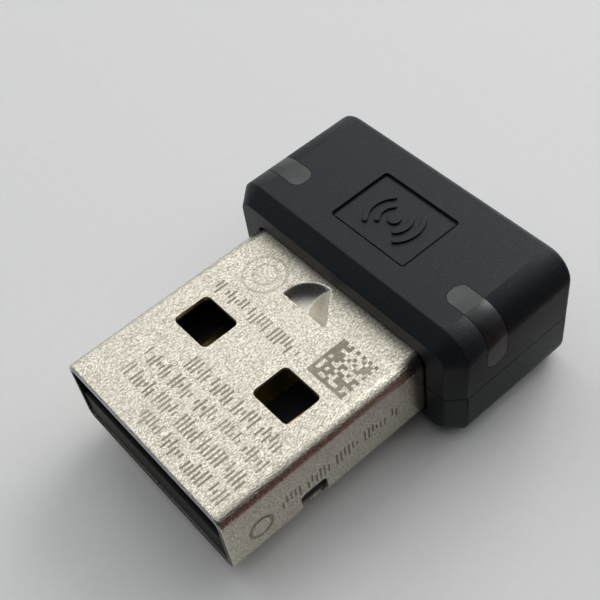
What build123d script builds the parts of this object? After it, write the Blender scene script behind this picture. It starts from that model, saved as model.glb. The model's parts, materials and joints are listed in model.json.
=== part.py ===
"""Miniature USB radio adapter: a rolled steel USB-A plug on a short two-part plastic housing.

Frame, in millimetres: the origin is on the plug's axis, in the plane where the housing's front
face meets the port. +X is to the right, +Y runs from the plug to the housing, and +Z is the side
that carries the plug's two latch windows and the debossed badge.
"""

from build123d import *
import os

os.makedirs("parts", exist_ok=True)

# ---------------------------------------------------------------- driving dimensions

# Plug, from the USB-A standard
PLUG_WIDTH = 12.0
PLUG_HEIGHT = 4.5
PLUG_LENGTH = 12.1
SHEET = 0.3
BEND_RADIUS = 0.6
SHELL_TAIL = 1.9

# Housing
HOUSING_WIDTH = 16.0
HOUSING_DEPTH = 7.9
HOUSING_TOP = 4.05
HOUSING_BOTTOM = -3.45
HOUSING_CORNER = 1.5
FRONT_CHAMFER_DEPTH = 0.86
FRONT_CHAMFER_INSET = 0.76
FRONT_EDGE_FILLET = 0.12
BACK_FILLET = 0.3
WALL = 0.9
PARTING_Z = 0.05
PARTING_GROOVE = 0.05
PARTING_GROOVE_DEPTH = 0.15
PARTING_GROOVE_CORNER = 0.9
PLUG_GAP = 0.1

# Latch windows, side slots and the lanced dent of the steel shell
WINDOW_WIDTH = 2.54
WINDOW_LENGTH = 2.14
WINDOW_X = 3.02
WINDOW_Y = -5.8
WINDOW_CORNER = 0.3
SIDE_SLOT_LENGTH = 1.58
SIDE_SLOT_HEIGHT = 1.45
SIDE_SLOT_Y = -7.15
SIDE_SLOT_Z = -1.43
SIDE_SLOT_CORNER = 0.3
DENT_CUT_Y = -2.05
DENT_X = -0.15
DENT_Y = -1.8
DENT_RADIUS = 1.5
DENT_DEPTH = 0.9
DENT_FACET_BACK = (0.0, -0.35)
DENT_FACET_FRONT = (1.4, -1.9)
DENT_FACET_SLOPE = 38
DENT_CREASE_FILLET = 0.15
DENT_RIM_FILLET = 0.18
DENT_PATCH_FRONT = DENT_CUT_Y - 0.6
DENT_PATCH_BACK = 0.25
DENT_PATCH_HALF_WIDTH = 2.1
MOUTH_FILLET = 0.14
SEAM_WIDTH = 0.06
SEAM_KEYS_Y = (-9.2, -3.2)
SEAM_KEY_NECK = 0.9
SEAM_KEY_HEAD = 1.5
SEAM_KEY_DEPTH = 0.9
SOLDER_LEG_END = 3.5
SOLDER_LEG_HEIGHT = 1.5
SOLDER_LEG_Z = -0.45

# Contact carrier and contacts
TONGUE_TOP = 0.0
TONGUE_FRONT = -PLUG_LENGTH + 0.12
CARRIER_FIT = 0.02
CARRIER_BASE_FRONT = -2.7
CARRIER_CORNER = 0.3
TONGUE_LEAD_IN = 0.1
DENT_POCKET_WIDTH = 4.0
DENT_POCKET_BACK = 0.1
DENT_POCKET_DEPTH = 1.1
SNAP_NUB_INSET = (0.2, 0.7)
SNAP_NUB_RISE = 0.25
SNAP_NUB_CORNER = 0.2
SNAP_NUB_REACH = SHEET + 0.12
CONTACT_WIDTH = 1.0
CONTACT_SHEET = 0.2
CONTACT_PROUD = 0.05
INNER_CONTACT_X = 1.0
OUTER_CONTACT_X = 3.5
OUTER_CONTACT_FRONT = TONGUE_FRONT + 0.93
INNER_CONTACT_FRONT = OUTER_CONTACT_FRONT + 1.0
CONTACT_LEAD_IN = (0.3, 0.12)
CONTACT_TAIL_END = 3.2
CONTACT_TAIL_NOTCH = 0.3
GROOVE_CLEARANCE = 0.02

# Circuit board
BOARD_THICKNESS = 0.8
BOARD_TOP = TONGUE_TOP + CONTACT_PROUD - CONTACT_SHEET
BOARD_BOTTOM = BOARD_TOP - BOARD_THICKNESS
BOARD_HALF_WIDTH = 6.75
BOARD_FRONT = 2.15
BOARD_BACK = 6.2
LEG_NOTCH_WIDTH = 0.5
LEG_NOTCH_END = SOLDER_LEG_END + 0.1
PIN_X = 6.2
PIN_Y = 5.6
PIN_RADIUS = 0.3
PIN_CLEARANCE = 0.03
PIN_ABOVE_BOARD = 0.3

# Posts, pads and the locating lip inside the housing
HOLD_DOWN_X = 6.3
HOLD_DOWN_Y = 3.95
HOLD_DOWN_RADIUS = 0.3
HOLD_DOWN_GAP = 0.03
PLUG_PAD_WIDTH = 8.0
PLUG_PAD_LENGTH = 0.8
PLUG_PAD_GAP = 0.02
BOARD_POST_X = 6.65
BOARD_POST_FRONT_Y = 3.1
BOARD_POST_WIDTH = 1.1
BOARD_POST_LENGTH = 1.0
LIP_FRONT = 4.4
LIP_THICKNESS = 0.25
LIP_HEIGHT = 0.7
LIP_ROOT_DEPTH = 1.2
LIP_ROOT_OVERLAP = 0.06
LIP_GAP = 0.05

# Light pipes
PIPE_Y = 2.75
PIPE_WIDTH = 1.28
PIPE_INNER_X = 5.1
PIPE_LOWER_Z = 1.1
PIPE_CORNER = 0.52
PIPE_GAP = 0.03
PIPE_OVERSHOOT = 1.0
PIPE_LEG_WIDTH = 0.75
PIPE_LEG_LENGTH = 1.05
PIPE_LEG_HEIGHT = 2.6
PIPE_LEG_CORNER = 0.1

# Status lights, under the legs of the light pipes
LIGHT_X = 6.5
LIGHT_WIDTH = 0.6
LIGHT_BASE_LENGTH = 1.0
LIGHT_BASE_HEIGHT = 0.2
LIGHT_LENS_LENGTH = 0.7
LIGHT_LENS_HEIGHT = 0.22

# Pairing key
KEY_Z = (HOUSING_TOP + HOUSING_BOTTOM) / 2
KEY_WIDTH = 5.0
KEY_HEIGHT = 1.8
KEY_PROUD = 0.2
KEY_GAP = 0.1
KEY_EDGE_FILLET = 0.12
KEY_FLANGE = 0.38
KEY_FLANGE_GAP = 0.02
KEY_FLANGE_MARGIN = (1.2, 0.8)
KEY_FLANGE_CORNER = 0.4
KEY_PUSHER_WIDTH = 1.6
KEY_PUSHER_HEIGHT = 0.8
KEY_PUSHER_LENGTH = 0.3

# Pairing switch, in line with the key
SWITCH_WIDTH = 3.5
SWITCH_HEIGHT = 1.3
SWITCH_FRONT = 4.2
SWITCH_BACK = 5.95
SWITCH_POCKET_FRONT = 4.75
SWITCH_POCKET_WIDTH = 1.5
SWITCH_POCKET_HEIGHT = 0.8
PLUNGER_CLEARANCE = 0.05
PLUNGER_Z = KEY_Z + 0.15
PLUNGER_FRONT = 5.15
DOME_SHEET = 0.07
DOME_HEIGHT = 0.6
DOME_GAP = 0.02
DOME_HALF_WIDTH = 0.72

# Screening can under the board
CAN_HALF_WIDTH = 4.4
CAN_FRONT = 2.45
CAN_BACK = 6.1
CAN_HEIGHT = 1.3
CAN_SHEET = 0.15
CAN_CORNER = 0.3

# Single components, as centre x, centre y, width, length, height and corner radius
UNDER_BOARD = {
    "radio_chip": (-2.15, 4.28, 3.4, 3.0, 0.6, 0.0),
    "memory_chip": (1.0, 3.9, 1.8, 1.8, 0.55, 0.0),
    "clock_crystal": (3.1, 4.6, 1.2, 1.6, 0.45, 0.15),
}
ON_BOARD = {
    "chip_antenna": (-4.7, 5.3, 2.0, 1.0, 0.6, 0.0),
    "radio_filter": (-3.2, 4.1, 0.5, 1.0, 0.35, 0.0),
    "voltage_regulator": (3.1, 5.4, 1.4, 1.4, 0.7, 0.0),
    "power_inductor": (4.9, 5.4, 1.2, 1.2, 0.75, 0.2),
    "surge_protector": (0.0, 3.6, 1.0, 0.5, 0.4, 0.0),
}

# Rows of small two-terminal chips, as centres' x and the chips' height
CHIP_WIDTH = 0.5
CHIP_LENGTH = 1.0
CHIP_ROW_Y = 4.1
CHIP_ROWS = {
    "capacitors": ((-2.4, 2.4, 3.2, 4.0), 0.45),
    "resistors": ((-5.0, -4.2, 4.8), 0.3),
}

# Badge: a shallow pocket in a finer moat, with a raised dot and two raised waves on each side of it
BADGE_WIDTH = 5.1
BADGE_LENGTH = 3.88
BADGE_CORNER = 0.22
BADGE_Y = 4.04
BADGE_DEPTH = 0.11
BADGE_MOAT_WIDTH = 0.15
BADGE_MOAT_DEPTH = 0.18
BADGE_RIM_FILLET = 0.035
WAVE_RADII = (0.85, 1.45)
WAVE_LINE = 0.28
WAVE_SPREAD = 44
DOT_RADIUS = 0.36

# ---------------------------------------------------------------- derived dimensions

HOUSING_HEIGHT = HOUSING_TOP - HOUSING_BOTTOM
HOUSING_MID_Z = (HOUSING_TOP + HOUSING_BOTTOM) / 2
CAVITY_WIDTH = HOUSING_WIDTH - 2 * WALL
CAVITY_HEIGHT = HOUSING_HEIGHT - 2 * WALL
CAVITY_TOP = HOUSING_TOP - WALL
CAVITY_BOTTOM = HOUSING_BOTTOM + WALL
CAVITY_BACK = HOUSING_DEPTH - WALL
INNER_HALF_WIDTH = PLUG_WIDTH / 2 - SHEET
INNER_HALF_HEIGHT = PLUG_HEIGHT / 2 - SHEET
CONTACT_TOP = TONGUE_TOP + CONTACT_PROUD
CONTACT_BOTTOM = CONTACT_TOP - CONTACT_SHEET
KEY_FLANGE_BACK = CAVITY_BACK - KEY_FLANGE_GAP
LEFT_AND_RIGHT = (-1, 1)
SIDES = ((-1, "left"), (1, "right"))

# The four contacts, as name, centre x and front end
CONTACTS = (
    ("contact_ground", -OUTER_CONTACT_X, OUTER_CONTACT_FRONT),
    ("contact_data_plus", -INNER_CONTACT_X, INNER_CONTACT_FRONT),
    ("contact_data_minus", INNER_CONTACT_X, INNER_CONTACT_FRONT),
    ("contact_vbus", OUTER_CONTACT_X, OUTER_CONTACT_FRONT),
)


def save(part, label):
    """Label one finished piece and write it as its own STEP file."""
    part.label = label
    export_step(part, f"parts/{label}.step")


# ---------------------------------------------------------------- housing envelope

# The whole outside of the housing as one block, before it is split into its two halves.
with BuildPart() as envelope:
    with BuildSketch(Plane.XZ.offset(-HOUSING_DEPTH)):
        with Locations((0, HOUSING_MID_Z)):
            RectangleRounded(HOUSING_WIDTH, HOUSING_HEIGHT, HOUSING_CORNER)
    extrude(amount=HOUSING_DEPTH)
    front_face = envelope.faces().sort_by(Axis.Y)[0]
    chamfer(
        front_face.edges(),
        length=FRONT_CHAMFER_INSET,
        length2=FRONT_CHAMFER_DEPTH,
        reference=front_face,
    )
    chamfer_edges = envelope.edges().filter_by(
        lambda edge: -0.01 < edge.center().Y < FRONT_CHAMFER_DEPTH + 0.01
        and abs(edge.position_at(0).Y - edge.position_at(1).Y) < 0.01
    )
    fillet(chamfer_edges, radius=FRONT_EDGE_FILLET)
    fillet(envelope.faces().sort_by(Axis.Y)[-1].edges(), radius=BACK_FILLET)

# The hollow that both halves share.
with BuildPart() as cavity:
    with BuildSketch(Plane.XZ.offset(-CAVITY_BACK)):
        with Locations((0, HOUSING_MID_Z)):
            RectangleRounded(CAVITY_WIDTH, CAVITY_HEIGHT, HOUSING_CORNER - WALL)
    extrude(amount=CAVITY_BACK - WALL)

# The front opening that the steel plug comes out of.
with BuildPart() as plug_opening:
    with BuildSketch(Plane.XZ.offset(-WALL)):
        RectangleRounded(PLUG_WIDTH + 2 * PLUG_GAP, PLUG_HEIGHT + 2 * PLUG_GAP, BEND_RADIUS + PLUG_GAP)
    extrude(amount=WALL)

# The rear opening that the pairing key slides in.
with BuildPart() as key_opening:
    with BuildSketch(Plane.XZ.offset(-HOUSING_DEPTH)):
        with Locations((0, KEY_Z)):
            SlotOverall(KEY_WIDTH + 2 * KEY_GAP, KEY_HEIGHT + 2 * KEY_GAP)
    extrude(amount=WALL)

# The fine step that runs round the outside of the joint between the halves.
with BuildPart() as parting_groove:
    with BuildSketch(Plane.XY.offset(PARTING_Z - PARTING_GROOVE / 2)):
        with Locations((0, HOUSING_DEPTH / 2)):
            Rectangle(HOUSING_WIDTH + 2, HOUSING_DEPTH + 2)
        with BuildLine():
            half = HOUSING_WIDTH / 2 - PARTING_GROOVE_DEPTH
            near = PARTING_GROOVE_DEPTH
            far = HOUSING_DEPTH - PARTING_GROOVE_DEPTH
            corner_depth = FRONT_CHAMFER_DEPTH * PARTING_GROOVE_CORNER
            corner_inset = FRONT_CHAMFER_INSET * PARTING_GROOVE_CORNER
            Polyline(
                (-half, near + corner_depth),
                (-half + corner_inset, near),
                (half - corner_inset, near),
                (half, near + corner_depth),
                (half, far),
                (-half, far),
                close=True,
            )
        make_face(mode=Mode.SUBTRACT)
    extrude(amount=PARTING_GROOVE)

# ---------------------------------------------------------------- light pipes


def light_pipe_blank(side, gap):
    """The prism that a light pipe, or the slot it sits in, takes from the housing's wall."""
    outer_x = HOUSING_WIDTH / 2 + PIPE_OVERSHOOT
    upper_z = HOUSING_TOP + PIPE_OVERSHOOT
    with BuildPart() as blank:
        with BuildSketch(Plane.XY.offset(HOUSING_TOP - HOUSING_CORNER)):
            with Locations((side * (PIPE_INNER_X + outer_x) / 2, PIPE_Y)):
                RectangleRounded(
                    outer_x - PIPE_INNER_X + 2 * gap,
                    PIPE_WIDTH + 2 * gap,
                    PIPE_CORNER + gap,
                )
        extrude(amount=HOUSING_CORNER + PIPE_OVERSHOOT)
        with BuildSketch(Plane.YZ.offset(side * (HOUSING_WIDTH / 2 - HOUSING_CORNER))):
            with Locations((PIPE_Y, (PIPE_LOWER_Z + upper_z) / 2)):
                RectangleRounded(
                    PIPE_WIDTH + 2 * gap,
                    upper_z - PIPE_LOWER_Z + 2 * gap,
                    PIPE_CORNER + gap,
                )
        extrude(amount=side * (HOUSING_CORNER + PIPE_OVERSHOOT))
    return blank.part


def light_pipe(side):
    """A smoky window that wraps the housing's shoulder, with a leg down to its status light."""
    with BuildPart() as pipe:
        add(light_pipe_blank(side, 0))
        add(envelope.part, mode=Mode.INTERSECT)
        add(cavity.part, mode=Mode.SUBTRACT)
        with BuildSketch(Plane.XY.offset(CAVITY_TOP - PIPE_LEG_HEIGHT)):
            with Locations((side * LIGHT_X, PIPE_Y)):
                RectangleRounded(PIPE_LEG_WIDTH, PIPE_LEG_LENGTH, PIPE_LEG_CORNER)
        extrude(amount=PIPE_LEG_HEIGHT)
    return pipe.part


for side, side_name in SIDES:
    save(light_pipe(side), f"light_pipe_{side_name}")

# ---------------------------------------------------------------- top cover


def badge_outline(inset):
    """The badge's rounded rectangle, drawn in the open sketch and drawn in by inset."""
    RectangleRounded(BADGE_WIDTH - 2 * inset, BADGE_LENGTH - 2 * inset, BADGE_CORNER - inset)


with BuildPart() as top_cover:
    add(envelope.part)
    split(bisect_by=Plane.XY.offset(PARTING_Z), keep=Keep.TOP)
    add(cavity.part, mode=Mode.SUBTRACT)
    add(plug_opening.part, mode=Mode.SUBTRACT)
    add(key_opening.part, mode=Mode.SUBTRACT)
    add(parting_groove.part, mode=Mode.SUBTRACT)
    for side in LEFT_AND_RIGHT:
        add(light_pipe_blank(side, PIPE_GAP), mode=Mode.SUBTRACT)
    # Two posts that hold the board down, and a pad over the plug's tail
    with BuildSketch(Plane.XY.offset(CAVITY_TOP)):
        with Locations((-HOLD_DOWN_X, HOLD_DOWN_Y), (HOLD_DOWN_X, HOLD_DOWN_Y)):
            Circle(HOLD_DOWN_RADIUS)
    extrude(amount=-(CAVITY_TOP - BOARD_TOP - HOLD_DOWN_GAP))
    with BuildSketch(Plane.XY.offset(CAVITY_TOP)):
        with Locations((0, WALL + PLUG_PAD_LENGTH / 2)):
            Rectangle(PLUG_PAD_WIDTH, PLUG_PAD_LENGTH)
    extrude(amount=-(CAVITY_TOP - PLUG_HEIGHT / 2 - PLUG_PAD_GAP))
    # Badge: the moat, then the pocket with the dot and its waves left standing in it
    with BuildSketch(Plane.XY.offset(HOUSING_TOP - BADGE_MOAT_DEPTH)):
        with Locations((0, BADGE_Y)):
            badge_outline(0)
    extrude(amount=BADGE_MOAT_DEPTH, mode=Mode.SUBTRACT)
    badge_rim = top_cover.faces().sort_by(Axis.Z)[-1].inner_wires()[0].edges()
    fillet(badge_rim, radius=BADGE_RIM_FILLET)
    with BuildSketch(Plane.XY.offset(HOUSING_TOP - BADGE_MOAT_DEPTH)):
        with Locations((0, BADGE_Y)):
            badge_outline(BADGE_MOAT_WIDTH)
    extrude(amount=BADGE_MOAT_DEPTH - BADGE_DEPTH)
    with BuildSketch(Plane.XY.offset(HOUSING_TOP - BADGE_DEPTH)):
        with Locations((0, BADGE_Y)):
            Circle(DOT_RADIUS)
        for start in (-WAVE_SPREAD, 180 - WAVE_SPREAD):
            for radius in WAVE_RADII:
                with BuildLine():
                    wave = CenterArc((0, BADGE_Y), radius, start, 2 * WAVE_SPREAD)
                    offset(wave, amount=WAVE_LINE / 2, side=Side.BOTH)
                make_face()
    extrude(amount=BADGE_DEPTH)
    sign_tops = top_cover.faces().filter_by(
        lambda face: abs(face.center().Z - HOUSING_TOP) < 0.001 and face.area < 2
    )
    fillet(sign_tops.edges(), radius=BADGE_RIM_FILLET)
save(top_cover.part, "top_cover")

# ---------------------------------------------------------------- bottom case

with BuildPart() as bottom_case:
    add(envelope.part)
    split(bisect_by=Plane.XY.offset(PARTING_Z), keep=Keep.BOTTOM)
    add(cavity.part, mode=Mode.SUBTRACT)
    add(plug_opening.part, mode=Mode.SUBTRACT)
    add(key_opening.part, mode=Mode.SUBTRACT)
    add(parting_groove.part, mode=Mode.SUBTRACT)
    # Locating lip that stands up inside the top cover's ends, on a thicker root
    lip_x = CAVITY_WIDTH / 2 - LIP_GAP - LIP_THICKNESS / 2
    lip_length = CAVITY_BACK - LIP_GAP - LIP_FRONT
    lip_y = LIP_FRONT + lip_length / 2
    with BuildSketch(Plane.XY.offset(PARTING_Z - LIP_ROOT_DEPTH)):
        with Locations(*[(side * (lip_x + LIP_ROOT_OVERLAP / 2), lip_y) for side in LEFT_AND_RIGHT]):
            Rectangle(LIP_THICKNESS + LIP_ROOT_OVERLAP, lip_length)
    extrude(amount=LIP_ROOT_DEPTH)
    with BuildSketch(Plane.XY.offset(PARTING_Z)):
        with Locations((-lip_x, lip_y), (lip_x, lip_y)):
            Rectangle(LIP_THICKNESS, lip_length)
    extrude(amount=LIP_HEIGHT)
    # Corner posts under the board, and the two pins that locate it
    with BuildSketch(Plane.XY.offset(CAVITY_BOTTOM)):
        for post_y in (BOARD_POST_FRONT_Y, PIN_Y):
            with Locations((-BOARD_POST_X, post_y), (BOARD_POST_X, post_y)):
                Rectangle(BOARD_POST_WIDTH, BOARD_POST_LENGTH)
    extrude(amount=BOARD_BOTTOM - CAVITY_BOTTOM)
    with BuildSketch(Plane.XY.offset(BOARD_BOTTOM)):
        with Locations((-PIN_X, PIN_Y), (PIN_X, PIN_Y)):
            Circle(PIN_RADIUS)
    extrude(amount=BOARD_THICKNESS + PIN_ABOVE_BOARD)
    # Pad under the plug's tail
    with BuildSketch(Plane.XY.offset(CAVITY_BOTTOM)):
        with Locations((0, WALL + PLUG_PAD_LENGTH / 2)):
            Rectangle(PLUG_PAD_WIDTH, PLUG_PAD_LENGTH)
    extrude(amount=-PLUG_HEIGHT / 2 - PLUG_PAD_GAP - CAVITY_BOTTOM)
save(bottom_case.part, "bottom_case")

# ---------------------------------------------------------------- pairing key

with BuildPart() as pairing_key:
    with BuildSketch(Plane.XZ.offset(-HOUSING_DEPTH - KEY_PROUD)):
        with Locations((0, KEY_Z)):
            SlotOverall(KEY_WIDTH, KEY_HEIGHT)
    extrude(amount=HOUSING_DEPTH + KEY_PROUD - KEY_FLANGE_BACK)
    fillet(pairing_key.faces().sort_by(Axis.Y)[-1].edges(), radius=KEY_EDGE_FILLET)
    with BuildSketch(Plane.XZ.offset(-KEY_FLANGE_BACK)):
        with Locations((0, KEY_Z)):
            RectangleRounded(
                KEY_WIDTH + KEY_FLANGE_MARGIN[0],
                KEY_HEIGHT + KEY_FLANGE_MARGIN[1],
                KEY_FLANGE_CORNER,
            )
    extrude(amount=KEY_FLANGE)
    with BuildSketch(Plane.XZ.offset(-KEY_FLANGE_BACK + KEY_FLANGE)):
        with Locations((0, PLUNGER_Z)):
            Rectangle(KEY_PUSHER_WIDTH, KEY_PUSHER_HEIGHT)
    extrude(amount=KEY_PUSHER_LENGTH)
save(pairing_key.part, "pairing_key")

# ---------------------------------------------------------------- plug shell

DENT_CUT = Plane.XZ.offset(-DENT_CUT_Y)
SHELL_TOP = Plane.XY.offset(PLUG_HEIGHT / 2)


def dent_form(grow):
    """The hollow over the dent's upper face, or over its under face if it grows by the sheet."""
    sphere_radius = (DENT_RADIUS**2 + DENT_DEPTH**2) / (2 * DENT_DEPTH)
    centre_z = PLUG_HEIGHT / 2 + sphere_radius - DENT_DEPTH
    along = Vector(*DENT_FACET_FRONT) - Vector(*DENT_FACET_BACK)
    facet = Plane(
        origin=(*DENT_FACET_BACK, PLUG_HEIGHT / 2),
        x_dir=along,
        z_dir=Vector(0, 0, 1).rotate(Axis((0, 0, 0), along), DENT_FACET_SLOPE),
    )
    with BuildPart() as form:
        with Locations((DENT_X, DENT_Y, centre_z)):
            Sphere(sphere_radius + grow)
        split(bisect_by=facet.offset(-grow), keep=Keep.TOP)
        crease = form.edges().filter_by(GeomType.CIRCLE).sort_by(SortBy.LENGTH)[-1]
        fillet(crease, radius=DENT_CREASE_FILLET + grow)
    return form.part


# The patch of sheet that the dent is pressed into, and the hole that it fills
with BuildPart() as dent_patch:
    with BuildSketch(Plane.XY.offset(INNER_HALF_HEIGHT)):
        with Locations((0, (DENT_PATCH_FRONT + DENT_PATCH_BACK) / 2)):
            Rectangle(2 * DENT_PATCH_HALF_WIDTH, DENT_PATCH_BACK - DENT_PATCH_FRONT)
    extrude(amount=SHEET)
    add(dent_form(SHEET))
    split(bisect_by=SHELL_TOP, keep=Keep.BOTTOM)
    split(bisect_by=Plane.XZ.offset(-DENT_PATCH_FRONT), keep=Keep.BOTTOM)
    split(bisect_by=Plane.XZ.offset(-DENT_PATCH_BACK), keep=Keep.TOP)
    add(dent_form(0), mode=Mode.SUBTRACT)
    sheet_top = dent_patch.faces().sort_by(Axis.Z)[-1]
    dent_rim = sheet_top.edges().filter_by(
        lambda edge: DENT_PATCH_FRONT + 0.01 < edge.center().Y < DENT_PATCH_BACK - 0.01
        and abs(edge.center().X) < DENT_PATCH_HALF_WIDTH - 0.01
    )
    fillet(dent_rim, radius=DENT_RIM_FILLET)
    split(bisect_by=DENT_CUT, keep=Keep.BOTTOM)

with BuildPart() as dent_hole:
    with BuildSketch(Plane.XY.offset(INNER_HALF_HEIGHT)):
        with Locations((0, (DENT_CUT_Y + DENT_PATCH_BACK) / 2)):
            Rectangle(2 * DENT_PATCH_HALF_WIDTH, DENT_PATCH_BACK - DENT_CUT_Y)
    extrude(amount=SHEET)

with BuildPart() as plug_shell:
    with BuildSketch(Plane.XZ.offset(-SHELL_TAIL)):
        RectangleRounded(PLUG_WIDTH, PLUG_HEIGHT, BEND_RADIUS)
        RectangleRounded(
            PLUG_WIDTH - 2 * SHEET,
            PLUG_HEIGHT - 2 * SHEET,
            BEND_RADIUS - SHEET,
            mode=Mode.SUBTRACT,
        )
    extrude(amount=SHELL_TAIL + PLUG_LENGTH)
    mouth_rim = plug_shell.faces().sort_by(Axis.Y)[0].outer_wire().edges()
    fillet(mouth_rim, radius=MOUTH_FILLET)
    # Lanced dent that keys the sheet into the carrier
    add(dent_hole.part, mode=Mode.SUBTRACT)
    add(dent_patch.part)
    # Latch windows in the top and bottom walls
    for wall_z in (PLUG_HEIGHT / 2 - 2 * SHEET, -PLUG_HEIGHT / 2 - SHEET):
        with BuildSketch(Plane.XY.offset(wall_z)):
            with Locations((-WINDOW_X, WINDOW_Y), (WINDOW_X, WINDOW_Y)):
                RectangleRounded(WINDOW_WIDTH, WINDOW_LENGTH, WINDOW_CORNER)
        extrude(amount=3 * SHEET, mode=Mode.SUBTRACT)
    # Snap slots in the side walls
    for side in LEFT_AND_RIGHT:
        with BuildSketch(Plane.YZ.offset(side * (INNER_HALF_WIDTH - 0.02))):
            with Locations((SIDE_SLOT_Y, SIDE_SLOT_Z)):
                RectangleRounded(SIDE_SLOT_LENGTH, SIDE_SLOT_HEIGHT, SIDE_SLOT_CORNER)
        extrude(amount=side * 2 * SHEET, mode=Mode.SUBTRACT)
    # Solder legs at the tail
    for side in LEFT_AND_RIGHT:
        with BuildSketch(Plane.YZ.offset(side * INNER_HALF_WIDTH)):
            with Locations(((SHELL_TAIL + SOLDER_LEG_END) / 2, SOLDER_LEG_Z)):
                Rectangle(SOLDER_LEG_END - SHELL_TAIL, SOLDER_LEG_HEIGHT)
        extrude(amount=side * SHEET)
    # Seam along the underside, with dovetail keys that hold it shut
    seam_points = [(0, -PLUG_LENGTH - 1)]
    for key_y in SEAM_KEYS_Y:
        seam_points += [
            (0, key_y - SEAM_KEY_NECK / 2),
            (SEAM_KEY_DEPTH, key_y - SEAM_KEY_HEAD / 2),
            (SEAM_KEY_DEPTH, key_y + SEAM_KEY_HEAD / 2),
            (0, key_y + SEAM_KEY_NECK / 2),
        ]
    seam_points += [(0, SHELL_TAIL + 1)]
    with BuildSketch(Plane.XY.offset(-PLUG_HEIGHT / 2 - SHEET)):
        with BuildLine():
            Polyline(*seam_points)
        trace(line_width=SEAM_WIDTH)
    extrude(amount=3 * SHEET, mode=Mode.SUBTRACT)
save(plug_shell.part, "plug_shell")

# ---------------------------------------------------------------- contact carrier

with BuildPart() as contact_carrier:
    with BuildSketch(Plane.YZ.offset(-INNER_HALF_WIDTH + CARRIER_FIT)):
        with BuildLine():
            low = -INNER_HALF_HEIGHT + CARRIER_FIT
            high = INNER_HALF_HEIGHT - CARRIER_FIT
            Polyline(
                (TONGUE_FRONT, low),
                (SHELL_TAIL, low),
                (SHELL_TAIL, high),
                (CARRIER_BASE_FRONT, high),
                (CARRIER_BASE_FRONT, TONGUE_TOP),
                (TONGUE_FRONT + TONGUE_LEAD_IN, TONGUE_TOP),
                (TONGUE_FRONT, TONGUE_TOP - TONGUE_LEAD_IN),
                close=True,
            )
        make_face()
    extrude(amount=2 * (INNER_HALF_WIDTH - CARRIER_FIT))
    fillet(contact_carrier.edges().filter_by(Axis.Y), radius=CARRIER_CORNER)
    # Pocket that the shell's dent locks into
    with BuildSketch(Plane.XY.offset(high)):
        with Locations((0, (CARRIER_BASE_FRONT + DENT_POCKET_BACK) / 2)):
            Rectangle(DENT_POCKET_WIDTH, DENT_POCKET_BACK - CARRIER_BASE_FRONT)
    extrude(amount=-DENT_POCKET_DEPTH, mode=Mode.SUBTRACT)
    # Grooves and through slots for the four contacts
    for _, x, front in CONTACTS:
        with BuildSketch(Plane.XY.offset(CONTACT_BOTTOM - GROOVE_CLEARANCE / 2)):
            with Locations((x, (front - GROOVE_CLEARANCE + SHELL_TAIL) / 2)):
                Rectangle(CONTACT_WIDTH + 2 * GROOVE_CLEARANCE, SHELL_TAIL - front + GROOVE_CLEARANCE)
        extrude(amount=CONTACT_SHEET + GROOVE_CLEARANCE, mode=Mode.SUBTRACT)
    # Snap nubs that stand in the shell's side slots
    for side in LEFT_AND_RIGHT:
        with BuildSketch(Plane.YZ.offset(side * (INNER_HALF_WIDTH - SHEET))):
            with Locations((SIDE_SLOT_Y, SIDE_SLOT_Z + SNAP_NUB_RISE)):
                RectangleRounded(
                    SIDE_SLOT_LENGTH - SNAP_NUB_INSET[0],
                    SIDE_SLOT_HEIGHT - SNAP_NUB_INSET[1],
                    SNAP_NUB_CORNER,
                )
        extrude(amount=side * SNAP_NUB_REACH)
save(contact_carrier.part, "contact_carrier")

for name, x, front in CONTACTS:
    with BuildPart() as contact:
        with BuildSketch(Plane.YZ.offset(x - CONTACT_WIDTH / 2)):
            with BuildLine():
                Polyline(
                    (front, CONTACT_BOTTOM),
                    (CONTACT_TAIL_END, CONTACT_BOTTOM),
                    (CONTACT_TAIL_END, CONTACT_TOP),
                    (front + CONTACT_LEAD_IN[0], CONTACT_TOP),
                    (front, CONTACT_TOP - CONTACT_LEAD_IN[1]),
                    close=True,
                )
            make_face()
        extrude(amount=CONTACT_WIDTH)
        # The tail narrows behind the carrier, where it is soldered
        with BuildSketch(Plane.XY.offset(CONTACT_BOTTOM)):
            for side in LEFT_AND_RIGHT:
                with Locations((x + side * CONTACT_WIDTH / 2, (BOARD_FRONT + CONTACT_TAIL_END) / 2)):
                    Rectangle(CONTACT_TAIL_NOTCH, CONTACT_TAIL_END - BOARD_FRONT)
        extrude(amount=CONTACT_SHEET, mode=Mode.SUBTRACT)
    save(contact.part, name)

# ---------------------------------------------------------------- circuit board and its parts

with BuildPart() as main_board:
    with BuildSketch(Plane.XY.offset(BOARD_BOTTOM)):
        with Locations((0, (BOARD_FRONT + BOARD_BACK) / 2)):
            Rectangle(2 * BOARD_HALF_WIDTH, BOARD_BACK - BOARD_FRONT)
        for side in LEFT_AND_RIGHT:
            # Notches for the shell's solder legs
            with Locations((side * (PLUG_WIDTH - SHEET) / 2, (BOARD_FRONT + LEG_NOTCH_END) / 2)):
                Rectangle(LEG_NOTCH_WIDTH, LEG_NOTCH_END - BOARD_FRONT, mode=Mode.SUBTRACT)
            # Holes for the case's pins
            with Locations((side * PIN_X, PIN_Y)):
                Circle(PIN_RADIUS + PIN_CLEARANCE, mode=Mode.SUBTRACT)
    extrude(amount=BOARD_THICKNESS)
save(main_board.part, "main_board")


def block(centre_x, centre_y, width, length, height, corner, base_z):
    """A rectangular component body, standing on base_z, or hanging from it if height is negative."""
    with BuildPart() as body:
        with BuildSketch(Plane.XY.offset(base_z)):
            with Locations((centre_x, centre_y)):
                if corner:
                    RectangleRounded(width, length, corner)
                else:
                    Rectangle(width, length)
        extrude(amount=height)
    return body.part


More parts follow.
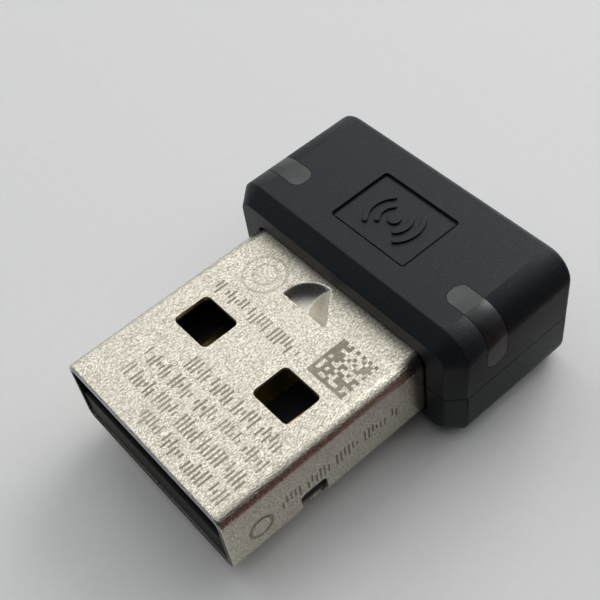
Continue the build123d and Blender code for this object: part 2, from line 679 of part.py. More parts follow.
def chip_row(places, height):
    """Small two-terminal chips of one kind, as separate solids in one node."""
    with BuildPart() as row:
        with BuildSketch(Plane.XY.offset(BOARD_TOP)):
            with Locations(*[(x, CHIP_ROW_Y) for x in places]):
                Rectangle(CHIP_WIDTH, CHIP_LENGTH)
        extrude(amount=height)
    return row.part


def status_light(side):
    """A flat ceramic light-emitting chip with a small clear lens block on top."""
    with BuildPart() as light:
        with BuildSketch(Plane.XY.offset(BOARD_TOP)):
            with Locations((side * LIGHT_X, PIPE_Y)):
                Rectangle(LIGHT_WIDTH, LIGHT_BASE_LENGTH)
        extrude(amount=LIGHT_BASE_HEIGHT)
        with BuildSketch(Plane.XY.offset(BOARD_TOP + LIGHT_BASE_HEIGHT)):
            with Locations((side * LIGHT_X, PIPE_Y)):
                Rectangle(LIGHT_WIDTH, LIGHT_LENS_LENGTH)
        extrude(amount=LIGHT_LENS_HEIGHT)
    return light.part


for name, (x, y, width, length, height, corner) in UNDER_BOARD.items():
    save(block(x, y, width, length, -height, corner, BOARD_BOTTOM), name)

for name, (x, y, width, length, height, corner) in ON_BOARD.items():
    save(block(x, y, width, length, height, corner, BOARD_TOP), name)

for name, (places, height) in CHIP_ROWS.items():
    save(chip_row(places, height), name)

for side, side_name in SIDES:
    save(status_light(side), f"status_light_{side_name}")

with BuildPart() as screening_can:
    with BuildSketch(Plane.XY.offset(BOARD_BOTTOM)):
        with Locations((0, (CAN_FRONT + CAN_BACK) / 2)):
            RectangleRounded(2 * CAN_HALF_WIDTH, CAN_BACK - CAN_FRONT, CAN_CORNER)
    extrude(amount=-CAN_HEIGHT)
    offset(
        amount=-CAN_SHEET,
        openings=screening_can.faces().sort_by(Axis.Z)[-1],
        kind=Kind.INTERSECTION,
    )
save(screening_can.part, "screening_can")

# ---------------------------------------------------------------- pairing switch

PLUNGER_BACK = KEY_FLANGE_BACK - KEY_FLANGE - KEY_PUSHER_LENGTH

with BuildPart() as switch_body:
    with BuildSketch(Plane.XY.offset(BOARD_TOP)):
        with Locations((0, (SWITCH_FRONT + SWITCH_BACK) / 2)):
            Rectangle(SWITCH_WIDTH, SWITCH_BACK - SWITCH_FRONT)
    extrude(amount=SWITCH_HEIGHT)
    with BuildSketch(Plane.XZ.offset(-SWITCH_BACK)):
        with Locations((0, PLUNGER_Z)):
            Rectangle(SWITCH_POCKET_WIDTH, SWITCH_POCKET_HEIGHT)
    extrude(amount=SWITCH_BACK - SWITCH_POCKET_FRONT, mode=Mode.SUBTRACT)
save(switch_body.part, "switch_body")

with BuildPart() as switch_plunger:
    with BuildSketch(Plane.XZ.offset(-PLUNGER_BACK)):
        with Locations((0, PLUNGER_Z)):
            Rectangle(
                SWITCH_POCKET_WIDTH - 2 * PLUNGER_CLEARANCE,
                SWITCH_POCKET_HEIGHT - 2 * PLUNGER_CLEARANCE,
            )
    extrude(amount=PLUNGER_BACK - PLUNGER_FRONT)
save(switch_plunger.part, "switch_plunger")

# The snap dome: a bowed strip of spring steel between the pocket's floor and the plunger
with BuildPart() as switch_dome:
    with BuildSketch(Plane.XY.offset(PLUNGER_Z - DOME_HEIGHT / 2)):
        with BuildLine():
            crown = PLUNGER_FRONT - DOME_GAP
            foot = SWITCH_POCKET_FRONT + DOME_GAP
            inner = DOME_HALF_WIDTH - DOME_SHEET
            ThreePointArc((-inner, foot), (0, crown - DOME_SHEET), (inner, foot))
            Line((inner, foot), (DOME_HALF_WIDTH, foot))
            ThreePointArc((DOME_HALF_WIDTH, foot), (0, crown), (-DOME_HALF_WIDTH, foot))
            Line((-DOME_HALF_WIDTH, foot), (-inner, foot))
        make_face()
    extrude(amount=DOME_HEIGHT)
save(switch_dome.part, "switch_dome")
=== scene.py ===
"""Looks of a miniature USB radio adapter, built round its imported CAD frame.

Lengths are metres, in the CAD's own frame: the plug points along -Y and its windows look up.
Material patterns are laid out in millimetres of the same frame.
"""

import json
import math

import bpy
from mathutils import Matrix, Vector


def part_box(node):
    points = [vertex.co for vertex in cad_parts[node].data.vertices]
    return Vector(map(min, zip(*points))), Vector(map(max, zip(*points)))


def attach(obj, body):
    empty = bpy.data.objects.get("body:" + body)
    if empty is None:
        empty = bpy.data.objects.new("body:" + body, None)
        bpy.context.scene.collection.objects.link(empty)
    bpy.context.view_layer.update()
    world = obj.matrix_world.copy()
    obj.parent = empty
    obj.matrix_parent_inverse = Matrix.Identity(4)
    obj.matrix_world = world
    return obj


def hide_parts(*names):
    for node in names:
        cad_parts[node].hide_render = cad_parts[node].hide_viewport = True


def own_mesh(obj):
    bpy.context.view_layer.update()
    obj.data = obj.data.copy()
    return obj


MM = 0.001

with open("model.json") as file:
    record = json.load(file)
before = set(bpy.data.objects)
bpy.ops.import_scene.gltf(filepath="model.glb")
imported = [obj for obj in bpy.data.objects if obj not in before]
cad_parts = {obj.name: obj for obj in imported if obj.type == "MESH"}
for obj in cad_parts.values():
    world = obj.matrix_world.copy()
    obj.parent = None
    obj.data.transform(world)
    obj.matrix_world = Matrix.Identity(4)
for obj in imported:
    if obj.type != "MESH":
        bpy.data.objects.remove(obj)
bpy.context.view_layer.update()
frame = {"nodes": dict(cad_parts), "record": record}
nodes = frame["nodes"]

shell_low, shell_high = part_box("plug_shell")
MOUTH_Y = shell_low.y
SHELL_TOP = shell_high.z
SHELL_SIDE = shell_high.x
FLOOR_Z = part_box("bottom_case")[0].z
BOARD_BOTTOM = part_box("main_board")[0].z
BOARD_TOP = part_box("main_board")[1].z
MIDDLE = Vector((0, (MOUTH_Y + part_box("top_cover")[1].y) / 2, 0))


# ------------------------------------------------------------------ camera

CAMERA_AZIMUTH = math.radians(57.0)
CAMERA_ELEVATION = math.radians(51.0)
CAMERA_ROLL = math.radians(-10.18)
CAMERA_FROM_MOUTH = Vector((26.88, -7.55, 42.87)) * MM
CAMERA_LENS = 64.6
SENSOR = 36.0


def add_camera():
    """The viewpoint of the photograph: close, from above and to the right of the plug's mouth."""
    flat = math.cos(CAMERA_ELEVATION)
    forward = Vector((
        -math.sin(CAMERA_AZIMUTH) * flat,
        math.cos(CAMERA_AZIMUTH) * flat,
        -math.sin(CAMERA_ELEVATION),
    ))
    level_right = Vector((math.cos(CAMERA_AZIMUTH), math.sin(CAMERA_AZIMUTH), 0))
    level_up = level_right.cross(forward)
    right = level_right * math.cos(CAMERA_ROLL) + level_up * math.sin(CAMERA_ROLL)
    up = right.cross(forward)
    data = bpy.data.cameras.new("camera")
    data.lens = CAMERA_LENS
    data.sensor_width = SENSOR
    data.clip_start = 0.002
    data.clip_end = 20.0
    camera = bpy.data.objects.new("camera", data)
    bpy.context.scene.collection.objects.link(camera)
    place = CAMERA_FROM_MOUTH + Vector((0, MOUTH_Y, 0))
    turn = Matrix((right, up, -forward)).transposed().to_4x4()
    camera.matrix_world = Matrix.Translation(place) @ turn
    bpy.context.scene.camera = camera


add_camera()


# ------------------------------------------------------------------ node graphs


class Graph:
    """One material's node tree, with a short method for each kind of node."""

    def __init__(self, name):
        self.material = bpy.data.materials.new(name)
        self.material.use_nodes = True
        self.tree = self.material.node_tree
        self.shader = self.tree.nodes["Principled BSDF"]
        coordinates = self.node("ShaderNodeTexCoord")
        scaled = self.node("ShaderNodeVectorMath", operation="SCALE")
        scaled.inputs["Scale"].default_value = 1 / MM
        self.link(coordinates.outputs["Object"], scaled.inputs[0])
        self.place = scaled.outputs[0]
        split = self.node("ShaderNodeSeparateXYZ")
        self.link(self.place, split.inputs[0])
        self.x, self.y, self.z = split.outputs

    def node(self, kind, **settings):
        made = self.tree.nodes.new(kind)
        for name, value in settings.items():
            setattr(made, name, value)
        return made

    def link(self, source, target):
        self.tree.links.new(source, target)

    def feed(self, target, value):
        """Link an output, or set a constant, on one input."""
        if isinstance(value, bpy.types.NodeSocket):
            self.link(value, target)
        else:
            target.default_value = value

    def math(self, operation, first, second=0.0, clamp=False):
        made = self.node("ShaderNodeMath", operation=operation, use_clamp=clamp)
        self.feed(made.inputs[0], first)
        self.feed(made.inputs[1], second)
        return made.outputs[0]

    def all_of(self, *masks):
        product = masks[0]
        for mask in masks[1:]:
            product = self.math("MULTIPLY", product, mask)
        return product

    def any_of(self, *masks):
        most = masks[0]
        for mask in masks[1:]:
            most = self.math("MAXIMUM", most, mask)
        return most

    def between(self, value, low, high, soft=0.015):
        """1 where low < value < high, falling to 0 over a soft margin."""
        rise = self.ramp(value, low - soft, low + soft)
        fall = self.ramp(value, high + soft, high - soft)
        return self.math("MULTIPLY", rise, fall)

    def ramp(self, value, start, end, low=0.0, high=1.0):
        made = self.node("ShaderNodeMapRange", clamp=True)
        for socket, number in zip(made.inputs, (value, start, end, low, high)):
            self.feed(socket, number)
        return made.outputs[0]

    def stretched(self, x, y, z):
        """The place, with one frequency along each axis."""
        made = self.node("ShaderNodeVectorMath", operation="MULTIPLY")
        self.link(self.place, made.inputs[0])
        made.inputs[1].default_value = (x, y, z)
        return made.outputs[0]

    def noise(self, frequency, detail=2.0, roughness=0.5, vector=None):
        made = self.node("ShaderNodeTexNoise")
        self.link(vector or self.place, made.inputs["Vector"])
        made.inputs["Scale"].default_value = frequency
        made.inputs["Detail"].default_value = detail
        made.inputs["Roughness"].default_value = roughness
        return made.outputs["Fac"]

    def cells(self, frequency):
        """Distance from the nearest of a scatter of points."""
        made = self.node("ShaderNodeTexVoronoi")
        self.link(self.place, made.inputs["Vector"])
        made.inputs["Scale"].default_value = frequency
        return made.outputs["Distance"]

    def chance(self, first, second):
        """One random number for each pair of whole numbers."""
        pair = self.node("ShaderNodeCombineXYZ")
        self.feed(pair.inputs[0], first)
        self.feed(pair.inputs[1], second)
        made = self.node("ShaderNodeTexWhiteNoise", noise_dimensions="3D")
        self.link(pair.outputs[0], made.inputs["Vector"])
        return made.outputs["Value"]

    def blend(self, share, first, second):
        """Mix two colours."""
        made = self.node("ShaderNodeMix", data_type="RGBA")
        self.feed(made.inputs["Factor"], share)
        for name, colour in (("A", first), ("B", second)):
            socket = [s for s in made.inputs if s.name == name and s.type == "RGBA"][0]
            self.feed(socket, colour if isinstance(colour, bpy.types.NodeSocket) else (*colour, 1))
        return [s for s in made.outputs if s.type == "RGBA"][0]

    def bump(self, height, depth_mm, below=None):
        made = self.node("ShaderNodeBump")
        self.feed(made.inputs["Height"], height)
        made.inputs["Distance"].default_value = depth_mm * MM
        if below is not None:
            self.link(below, made.inputs["Normal"])
        return made.outputs["Normal"]

    def finish(self, **inputs):
        """Set or link the shader's own sockets, named with _ for a space."""
        for name, value in inputs.items():
            socket = self.shader.inputs[name.replace("_", " ")]
            if isinstance(value, tuple) and socket.type == "RGBA":
                value = (*value, 1)
            self.feed(socket, value)
        return self.material


# ------------------------------------------------------------------ materials

DENT_FRONT_Y = -2.05
DENT_SKIN_FRONT_Y = DENT_FRONT_Y - 1.6
DENT_HALF_WIDTH = 2.1
BAR_PITCH = 0.25
BAR_WIDTH = 0.115
BAR_START = 0.06
BAR_SHORT = 0.15
BAR_LONG = 0.42
BAR_GROUP = 7
# Each row of bars on the top wall: from x, to x, at y
TOP_ROWS = (
    (-1.03, 5.2, -11.2),
    (-3.65, 5.2, -10.08),
    (-3.65, 5.2, -8.94),
    (-1.75, 5.2, -7.78),
    (-4.5, 1.65, -3.95),
)
# The row on the right side wall: from y, to y, at z
SIDE_ROW = (-9.0, -1.8, -0.05)
SIDE_RING_CENTRE = (-10.2, -0.4)
SIDE_RING_RADIUS = 0.62
CODE_CORNER = (2.55, -4.2)
CODE_SIDE = 2.4
CODE_CELLS = 12
WORN_CENTRE = (-3.2, -1.9)
WORN_RADII = (1.15, 0.65)


def bar_row(g, along, across, start, end, middle, row):
    """Upright bars of four heights, drawn by chance between start and end. They encode nothing."""
    step = g.math("DIVIDE", along, BAR_PITCH)
    cell = g.math("FLOOR", step)
    inside = g.math("MULTIPLY", g.math("FRACT", step), BAR_PITCH)
    bar = g.between(inside, BAR_START, BAR_START + BAR_WIDTH, 0.012)
    tall_up = g.math("GREATER_THAN", g.chance(cell, row), 0.4)
    tall_down = g.math("GREATER_THAN", g.chance(cell, row + 0.5), 0.4)
    up = g.ramp(tall_up, 0, 1, BAR_SHORT, BAR_LONG)
    down = g.ramp(tall_down, 0, 1, -BAR_SHORT, -BAR_LONG)
    offset = g.math("SUBTRACT", across, middle)
    tall = g.all_of(
        g.math("LESS_THAN", offset, up),
        g.math("GREATER_THAN", offset, down),
    )
    place = g.math("MODULO", g.math("ADD", cell, 200 + row), BAR_GROUP)
    group = g.math("GREATER_THAN", place, 0.5)
    return g.all_of(bar, tall, group, g.between(along, start, end))


def square_code(g, left, low, side, count):
    """A square of cells there or not by chance, with a solid corner and a dotted far edge."""
    pitch = side / count
    across = g.math("DIVIDE", g.math("SUBTRACT", g.x, left), pitch)
    upward = g.math("DIVIDE", g.math("SUBTRACT", g.y, low), pitch)
    column = g.math("FLOOR", across)
    line = g.math("FLOOR", upward)
    present = g.math("GREATER_THAN", g.chance(column, line), 0.5)
    corner = g.any_of(g.math("LESS_THAN", column, 0.5), g.math("LESS_THAN", line, 0.5))
    even = g.math("LESS_THAN", g.math("MODULO", g.math("ADD", column, line), 2), 0.5)
    far = g.any_of(
        g.math("GREATER_THAN", column, count - 1.5),
        g.math("GREATER_THAN", line, count - 1.5),
    )
    inner = g.math("SUBTRACT", 1.0, far)
    cells = g.any_of(corner, g.all_of(far, even), g.all_of(inner, present))
    block = g.all_of(
        g.between(g.x, left, left + side, 0.004),
        g.between(g.y, low, low + side, 0.004),
    )
    return g.all_of(cells, block)


def ring(g, first, second, centre, radius, width):
    """A circle drawn in two of the three directions."""
    a = g.math("SUBTRACT", first, centre[0])
    b = g.math("SUBTRACT", second, centre[1])
    distance = g.math("SQRT", g.math("ADD", g.math("MULTIPLY", a, a), g.math("MULTIPLY", b, b)))
    return g.between(distance, radius - width / 2, radius + width / 2)


def plug_steel():
    """Rolled stainless sheet: short brushed streaks along the plug, and etched generic marks."""
    g = Graph("plug_steel")
    fine = g.noise(1.0, 1.0, 0.5, g.stretched(31, 8.5, 31))
    medium = g.noise(1.0, 2.0, 0.5, g.stretched(12, 1.6, 12))
    blotch = g.noise(0.7, 3.0, 0.6)
    streaks = g.math("ADD", g.math("MULTIPLY", fine, 0.78), g.math("MULTIPLY", medium, 0.22))
    # Rows of bars on the top wall, beside the windows and beside the dent
    on_top = g.math("GREATER_THAN", g.z, SHELL_TOP / MM - 0.02)
    rows = [bar_row(g, g.x, g.y, *row, number) for number, row in enumerate(TOP_ROWS, 1)]
    code = square_code(g, *CODE_CORNER, CODE_SIDE, CODE_CELLS)
    worn = g.any_of(*(ring(g, g.x, g.y, WORN_CENTRE, radius, 0.14) for radius in WORN_RADII))
    top_marks = g.all_of(on_top, g.any_of(*rows, code, g.math("MULTIPLY", worn, 0.4)))
    # One row and a ring on the right side wall
    on_side = g.math("GREATER_THAN", g.x, SHELL_SIDE / MM - 0.02)
    side_marks = g.all_of(
        on_side,
        g.any_of(
            bar_row(g, g.y, g.z, *SIDE_ROW, len(TOP_ROWS) + 1),
            ring(g, g.y, g.z, SIDE_RING_CENTRE, SIDE_RING_RADIUS, 0.2),
        ),
    )
    etched = g.any_of(top_marks, side_marks)
    fade = g.ramp(g.noise(0.5, 2.0), 0.3, 0.55, 0.7, 1.0)
    etched = g.math("MULTIPLY", etched, fade)
    tint = g.blend(g.ramp(streaks, 0.42, 0.585), (0.36, 0.325, 0.255), (0.97, 0.925, 0.81))
    cloudy = g.math("MULTIPLY", g.ramp(blotch, 0.35, 0.65), 0.25)
    tint = g.blend(cloudy, tint, (0.66, 0.615, 0.53))
    # Painted shade darkens the inner faces of the shell, and the sheared ends at the mouth are
    # darker
    inner = g.all_of(
        g.math("LESS_THAN", g.math("ABSOLUTE", g.x), SHELL_SIDE / MM - 0.2),
        g.math("LESS_THAN", g.math("ABSOLUTE", g.z), SHELL_TOP / MM - 0.2),
        g.math("LESS_THAN", g.y, DENT_FRONT_Y - 0.1),
    )
    tint = g.blend(g.math("MULTIPLY", inner, 0.85), tint, (0.10, 0.10, 0.09))
    sheared = g.any_of(
        g.math("LESS_THAN", g.y, MOUTH_Y / MM + 0.02),
        g.all_of(
            g.math("LESS_THAN", g.y, MOUTH_Y / MM + 0.16),
            g.math("LESS_THAN", g.z, 0.3 - SHELL_TOP / MM),
        ),
    )
    # Near the top wall the cut edge carries a painted blue-grey reflection of the floor; lower
    # down the sheared ends are dark
    top_lip_reflection_share = g.ramp(g.z, SHELL_TOP / MM - 0.6, SHELL_TOP / MM - 0.3)
    sheared_end_and_reflection_tint = g.blend(top_lip_reflection_share, (0.066, 0.057, 0.043), (0.40, 0.45, 0.51))
    tint = g.blend(sheared, tint, sheared_end_and_reflection_tint)
    tint = g.blend(g.math("MULTIPLY", etched, 0.88), tint, (0.225, 0.20, 0.155))
    # Drawing the dent has stretched its skin smooth
    dent = g.all_of(
        g.between(g.z, 0.9, SHELL_TOP / MM - 0.03, 0.02),
        g.math("LESS_THAN", g.math("ABSOLUTE", g.x), DENT_HALF_WIDTH),
        g.math("GREATER_THAN", g.y, DENT_SKIN_FRONT_Y),
        g.math("SUBTRACT", 1.0, inner),
    )
    brushed = g.math("SUBTRACT", 1.0, g.math("MULTIPLY", dent, 0.8))
    tint = g.blend(g.math("MULTIPLY", dent, 0.8), tint, (0.74, 0.70, 0.62))
    # The bends and the side walls are smoother than the brushed top and bottom
    level = g.math("LESS_THAN", g.math("ABSOLUTE", g.x), SHELL_SIDE / MM - 0.4)
    rough = g.ramp(streaks, 0.34, 0.66, 0.28, 0.18)
    rough = g.math("ADD", rough, g.math("MULTIPLY", level, 0.17))
    rough = g.math("ADD", rough, g.math("MULTIPLY", etched, 0.15))
    rough = g.math("SUBTRACT", rough, g.math("MULTIPLY", dent, 0.14))
    relief = g.bump(g.math("MULTIPLY", fine, brushed), 0.014)
    relief = g.bump(g.math("MULTIPLY", medium, brushed), 0.010, relief)
    relief = g.bump(g.math("MULTIPLY", etched, -1.0), 0.006, relief)
    return g.finish(Base_Color=tint, Metallic=1.0, Roughness=rough, Normal=relief)


def moulded_plastic(name, colour, grain, rough, sparkle_glints, gloss):
    """Black plastic from a spark-eroded mould, with fine grain and a few pale specks painted as
    glints of its sparkle.
    """
    g = Graph(name)
    grain_fine = g.noise(13.0, 3.0, 0.65)
    grain_wide = g.noise(2.2, 3.0, 0.6)
    tint = g.blend(g.ramp(grain_fine, 0.35, 0.7), colour, tuple(1.8 * c for c in colour))
    cloudy = g.math("MULTIPLY", g.ramp(grain_wide, 0.4, 0.7), 0.3)
    tint = g.blend(cloudy, tint, tuple(1.6 * c for c in colour))
    if sparkle_glints:
        # Painted glints: a few pale specks stand in for the sparkle of the grained plastic
        glint_speck = g.all_of(
            g.math("LESS_THAN", g.cells(7.0), 0.17),
            g.math("GREATER_THAN", g.noise(1.3, 2.0), 0.56),
        )
        tint = g.blend(g.math("MULTIPLY", glint_speck, 0.35), tint, (0.12, 0.12, 0.115))
    roughness = g.ramp(grain_fine, 0.3, 0.7, rough - 0.07, rough + 0.1)
    relief = g.bump(grain_fine, grain)
    return g.finish(
        Base_Color=tint,
        Roughness=roughness,
        Normal=relief,
        Specular_IOR_Level=gloss,
    )


def smoky_window():
    """Smoky plastic: frosted over the light and at the foot, clearer on the bend."""
    g = Graph("light_pipe_smoke")
    grain = g.noise(13.0, 3.0, 0.6)
    cloud = g.noise(1.1, 2.0)
    frosted = g.blend(g.ramp(cloud, 0.3, 0.7), (0.040, 0.045, 0.045), (0.066, 0.071, 0.070))
    outward = g.math("ABSOLUTE", g.x)
    over_light = g.ramp(outward, 7.0, 5.6)
    foot = g.all_of(g.ramp(outward, 7.5, 7.9), g.ramp(g.z, 2.9, 1.4, 0.0, 0.8))
    frost = g.any_of(over_light, foot)
    tint = g.blend(frost, (0.012, 0.014, 0.0155), frosted)
    rough = g.math("ADD", g.ramp(grain, 0.3, 0.7, 0.30, 0.44), g.math("MULTIPLY", frost, 0.08))
    return g.finish(
        Base_Color=tint,
        Roughness=rough,
        Normal=g.bump(grain, 0.0025),
        Subsurface_Weight=0.35,
        Subsurface_Scale=0.6 * MM,
    )


def plain_metal(name, dark, light, rough, along):
    """Plated or polished sheet with faint drawing lines."""
    g = Graph(name)
    lines = g.noise(1.0, 3.0, 0.6, g.stretched(*along))
    return g.finish(
        Base_Color=g.blend(g.ramp(lines, 0.3, 0.7), dark, light),
        Metallic=1.0,
        Roughness=g.ramp(lines, 0.3, 0.7, rough, rough + 0.12),
        Normal=g.bump(lines, 0.0015),
    )


def board_laminate():
    """Green solder mask over faint copper tracks, with bare fibre at the cut edges."""
    g = Graph("board_laminate")
    track = g.any_of(
        g.between(g.math("FRACT", g.math("MULTIPLY", g.x, 1.6)), 0.3, 0.52, 0.03),
        g.between(g.math("FRACT", g.math("MULTIPLY", g.y, 1.3)), 0.4, 0.58, 0.03),
    )
    shown = g.math("MULTIPLY", track, g.ramp(g.noise(0.9, 1.0), 0.45, 0.55))
    green = g.blend(shown, (0.012, 0.07, 0.035), (0.03, 0.15, 0.07))
    face = g.any_of(
        g.math("GREATER_THAN", g.z, BOARD_TOP / MM - 0.01),
        g.math("LESS_THAN", g.z, BOARD_BOTTOM / MM + 0.01),
    )
    layers = g.noise(1.0, 3.0, 0.7, g.stretched(3, 3, 30))
    fibre = g.blend(layers, (0.28, 0.30, 0.14), (0.45, 0.44, 0.25))
    return g.finish(
        Base_Color=g.blend(face, fibre, green),
        Roughness=g.ramp(face, 0, 1, 0.7, 0.3),
        Normal=g.bump(shown, 0.01),
    )


def speckled(name, dark, light, rough):
    """Fired ceramic or moulded epoxy with a fine speckle."""
    g = Graph(name)
    spots = g.noise(9.0, 3.0, 0.65)
    return g.finish(
        Base_Color=g.blend(g.ramp(spots, 0.35, 0.65), dark, light),
        Roughness=g.ramp(spots, 0.3, 0.7, rough, rough + 0.12),
        Normal=g.bump(spots, 0.004),
    )


def status_light():
    """White base under a clear, faintly yellow lens block."""
    g = Graph("status_light")
    lens = g.math("GREATER_THAN", g.z, BOARD_TOP / MM + 0.2)
    cloud = g.noise(4.0, 2.0)
    base = g.blend(cloud, (0.78, 0.77, 0.72), (0.86, 0.85, 0.8))
    glow = g.blend(cloud, (0.85, 0.72, 0.30), (0.9, 0.8, 0.42))
    return g.finish(
        Base_Color=g.blend(lens, base, glow),
        Roughness=g.ramp(lens, 0, 1, 0.5, 0.12),
        Normal=g.bump(cloud, 0.004),
    )


# Name: colour, grain depth, roughness, painted sparkle glints, gloss
PLASTICS = {
    "housing_plastic": ((0.0056, 0.0094, 0.0122), 0.014, 0.44, True, 0.26),
    "key_plastic": ((0.0055, 0.0065, 0.0075), 0.003, 0.4, False, 0.26),
    "carrier_plastic": ((0.0085, 0.0085, 0.0087), 0.002, 0.55, False, 0.14),
    "switch_plastic": ((0.03, 0.03, 0.031), 0.002, 0.5, False, 0.26),
}
# Name: dark and light colours, roughness, frequency of the lines along each axis
METALS = {
    "contact_gold": ((0.82, 0.56, 0.22), (0.95, 0.70, 0.33), 0.16, (12, 1, 12)),
    "can_steel": ((0.50, 0.50, 0.48), (0.66, 0.66, 0.63), 0.3, (3, 8, 3)),
    "spring_steel": ((0.55, 0.53, 0.5), (0.7, 0.68, 0.64), 0.2, (6, 6, 6)),
}
# Name: dark and light colours, roughness
SPECKLED = {
    "chip_epoxy": ((0.02, 0.02, 0.021), (0.045, 0.045, 0.046), 0.5),
    "antenna_ceramic": ((0.66, 0.66, 0.62), (0.78, 0.78, 0.74), 0.4),
    "capacitor_ceramic": ((0.30, 0.20, 0.12), (0.45, 0.30, 0.18), 0.45),
    "resistor_glaze": ((0.02, 0.02, 0.022), (0.05, 0.05, 0.052), 0.25),
}
MATERIALS = {
    "plug_steel": plug_steel(),
    "light_pipe_smoke": smoky_window(),
    "board_laminate": board_laminate(),
    "status_light": status_light(),
}
for made_by, table in ((moulded_plastic, PLASTICS), (plain_metal, METALS), (speckled, SPECKLED)):
    for name, values in table.items():
        MATERIALS[name] = made_by(name, *values)

for part in frame["record"]["subparts"]:
    nodes[part["node"]].material_slots[0].material = MATERIALS[part["material_slot"]]


# ------------------------------------------------------------------ softened edges

EDGE_WIDTHS = {
    "top_cover": 0.02,
    "bottom_case": 0.02,
    "pairing_key": 0.02,
    "light_pipe_left": 0.02,
    "light_pipe_right": 0.02,
    "plug_shell": 0.02,
    "contact_carrier": 0.03,
}
SHARP_EDGE = math.radians(32)


def soften(node, width_mm):
    """Round the sharp edges of a CAD node a little, with modifiers only."""
    weld = node.modifiers.new("weld", "WELD")
    weld.merge_threshold = 1e-4 * MM
    bevel = node.modifiers.new("bevel", "BEVEL")
    bevel.width = width_mm * MM
    bevel.segments = 2
    bevel.limit_method = "ANGLE"
    bevel.angle_limit = SHARP_EDGE
    bevel.use_clamp_overlap = True
    bevel.harden_normals = True


for name, width in EDGE_WIDTHS.items():
    soften(nodes[name], width)


# ------------------------------------------------------------------ the snap dome


def add_snap_dome():
    """The snap dome behind the plunger, as a copy with its own mesh on the adapter's body; the CAD
    node is hidden.
    """
    dome = bpy.data.objects.new("snap_dome", nodes["switch_dome"].data.copy())
    bpy.context.scene.collection.objects.link(dome)
    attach(dome, "adapter")
    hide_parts("switch_dome")
    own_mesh(dome)


add_snap_dome()


# ------------------------------------------------------------------ set, light and world


FLOOR_HALF = 1.15
BACKDROP_RADIUS = 1.1
BACKDROP_HEIGHT = 1.5
BACKDROP_PANELS = 96
CARD_NEAR_X = 10.5 * MM
CARD_FAR_X = 26 * MM
CARD_HALF_LENGTH = 60 * MM
CARD_LOW_Z = FLOOR_Z + 0.1 * MM
CARD_HIGH_Z = FLOOR_Z + 8.5 * MM


def add_stage(name, corners, faces, material):
    """A piece of the set round the adapter, which isn't part of it."""
    mesh = bpy.data.meshes.new(name)
    mesh.from_pydata(corners, [], faces)
    mesh.materials.append(material)
    piece = bpy.data.objects.new(name, mesh)
    bpy.context.scene.collection.objects.link(piece)
    return piece


def glowing(name, frequency, dark, light):
    """An even glow of its own, with no shading from the lights."""
    g = Graph(name)
    return g.finish(
        Base_Color=(0.0, 0.0, 0.0),
        Specular_IOR_Level=0.0,
        Emission_Color=g.blend(g.noise(frequency, 2.0), dark, light),
        Emission_Strength=1.0,
    )


def unlit(piece):
    """Keep a piece of the set out of diffuse light, shadows and transmission."""
    piece.visible_diffuse = False
    piece.visible_shadow = False
    piece.visible_transmission = False


def add_floor():
    """Pale matt paper."""
    g = Graph("floor")
    paper = g.noise(2.0, 3.0)
    material = g.finish(
        Base_Color=g.blend(paper, (0.76, 0.765, 0.76), (0.80, 0.805, 0.80)),
        Roughness=0.75,
        Normal=g.bump(paper, 0.004),
    )
    signs = ((-1, -1), (1, -1), (1, 1), (-1, 1))
    corners = [(x * FLOOR_HALF, y * FLOOR_HALF, FLOOR_Z) for x, y in signs]
    add_stage("floor", corners, [(0, 1, 2, 3)], material)


def add_backdrop():
    """A pale wall round the floor's rim, for views that look over the floor."""
    corners = []
    faces = []
    for panel in range(BACKDROP_PANELS):
        turn = 2 * math.pi * panel / BACKDROP_PANELS
        for z in (FLOOR_Z - 0.01, FLOOR_Z + BACKDROP_HEIGHT):
            corners.append((BACKDROP_RADIUS * math.cos(turn), BACKDROP_RADIUS * math.sin(turn), z))
        here = 2 * panel
        after = 2 * ((panel + 1) % BACKDROP_PANELS)
        faces.append((here, after, after + 1, here + 1))
    material = glowing("backdrop", 0.004, (0.60, 0.61, 0.605), (0.64, 0.65, 0.645))
    backdrop = add_stage("backdrop", corners, faces, material)
    unlit(backdrop)
    backdrop.visible_glossy = False


LIGHT_COLOUR = (1.0, 0.985, 0.95)


def add_light(name, place, size, power):
    """A soft square light that looks at the middle of the adapter."""
    data = bpy.data.lights.new(name, "AREA")
    data.shape = "SQUARE"
    data.size = size
    data.energy = power
    data.color = LIGHT_COLOUR
    light = bpy.data.objects.new(name, data)
    bpy.context.scene.collection.objects.link(light)
    light.location = place
    aim = MIDDLE - Vector(place)
    light.rotation_euler = aim.to_track_quat("-Z", "Y").to_euler()
    light.visible_camera = False
    return light


def add_reflected_card():
    """A dark red-brown card on the floor beyond the right side wall, seen only as a reflection."""
    corners = [
        (CARD_NEAR_X, -CARD_HALF_LENGTH, CARD_LOW_Z),
        (CARD_FAR_X, -CARD_HALF_LENGTH, CARD_HIGH_Z),
        (CARD_FAR_X, CARD_HALF_LENGTH, CARD_HIGH_Z),
        (CARD_NEAR_X, CARD_HALF_LENGTH, CARD_LOW_Z),
    ]
    material = glowing("reflected_card", 1.5, (0.095, 0.052, 0.045), (0.115, 0.066, 0.056))
    card = add_stage("reflected_card", corners, [(0, 1, 2, 3)], material)
    unlit(card)
    card.visible_camera = False


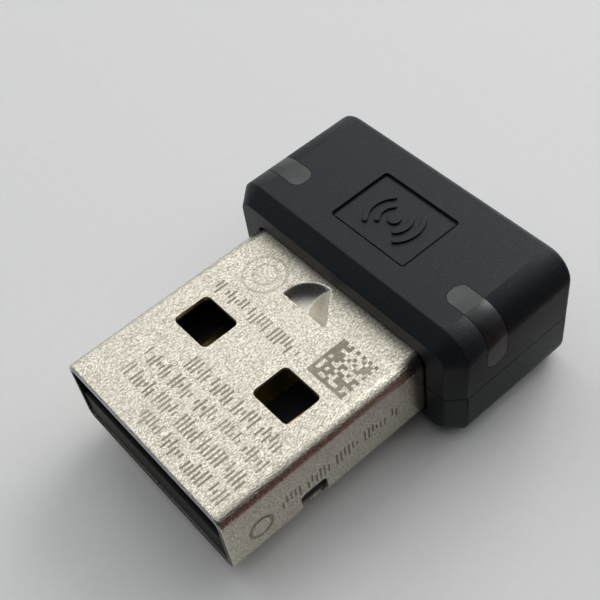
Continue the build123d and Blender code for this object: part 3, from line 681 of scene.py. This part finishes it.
# Each part of the sky: its centre, its colour there, and how its share rises towards the centre
ROOM = (0.022, 0.024, 0.027)
SKY_PARTS = (
    ((0.93, 0.34, 0.12), (0.085, 0.030, 0.022), (0.93, 0.99)),
    ((-0.50, 0.45, 0.74), (0.93, 0.945, 0.955), (0.04, 0.86)),
    ((-0.60, 0.25, 0.76), (1.15, 1.16, 1.165), (0.80, 0.985)),
)


def sky_share(tree, direction, centre, rise):
    """How far each direction of the sky lies towards a centre, from 0 to 1."""
    facing = tree.nodes.new("ShaderNodeVectorMath")
    facing.operation = "DOT_PRODUCT"
    facing.inputs[1].default_value = Vector(centre).normalized()
    tree.links.new(direction, facing.inputs[0])
    share = tree.nodes.new("ShaderNodeMapRange")
    share.interpolation_type = "SMOOTHSTEP"
    share.inputs["From Min"].default_value = rise[0]
    share.inputs["From Max"].default_value = rise[1]
    tree.links.new(facing.outputs["Value"], share.inputs["Value"])
    return share.outputs["Result"]


def sky_mix(tree, share, below, above):
    """Mix a colour, or another mix, with a colour by a share."""
    mix = tree.nodes.new("ShaderNodeMix")
    mix.data_type = "RGBA"
    tree.links.new(share, mix.inputs["Factor"])
    first, second = [socket for socket in mix.inputs if socket.type == "RGBA"]
    if isinstance(below, bpy.types.NodeSocket):
        tree.links.new(below, first)
    else:
        first.default_value = (*below, 1)
    second.default_value = (*above, 1)
    return [socket for socket in mix.outputs if socket.type == "RGBA"][0]


def set_world():
    """A dim room with a warm low patch, and a wide overcast window with a brighter core."""
    world = bpy.data.worlds.new("world")
    world.use_nodes = True
    tree = world.node_tree
    direction = tree.nodes.new("ShaderNodeTexCoord").outputs["Generated"]
    sky = ROOM
    for centre, colour, rise in SKY_PARTS:
        sky = sky_mix(tree, sky_share(tree, direction, centre, rise), sky, colour)
    tree.links.new(sky, tree.nodes["Background"].inputs["Color"])
    bpy.context.scene.world = world


add_floor()
add_backdrop()
add_reflected_card()
add_light("key_light", (-0.09, 0.34, 0.20), 0.25, 0.66)
side_light = add_light("side_light", (0.20, 0.30, 0.15), 0.30, 0.17)
side_light.visible_glossy = False
set_world()

bpy.context.scene.view_settings.view_transform = "Standard"
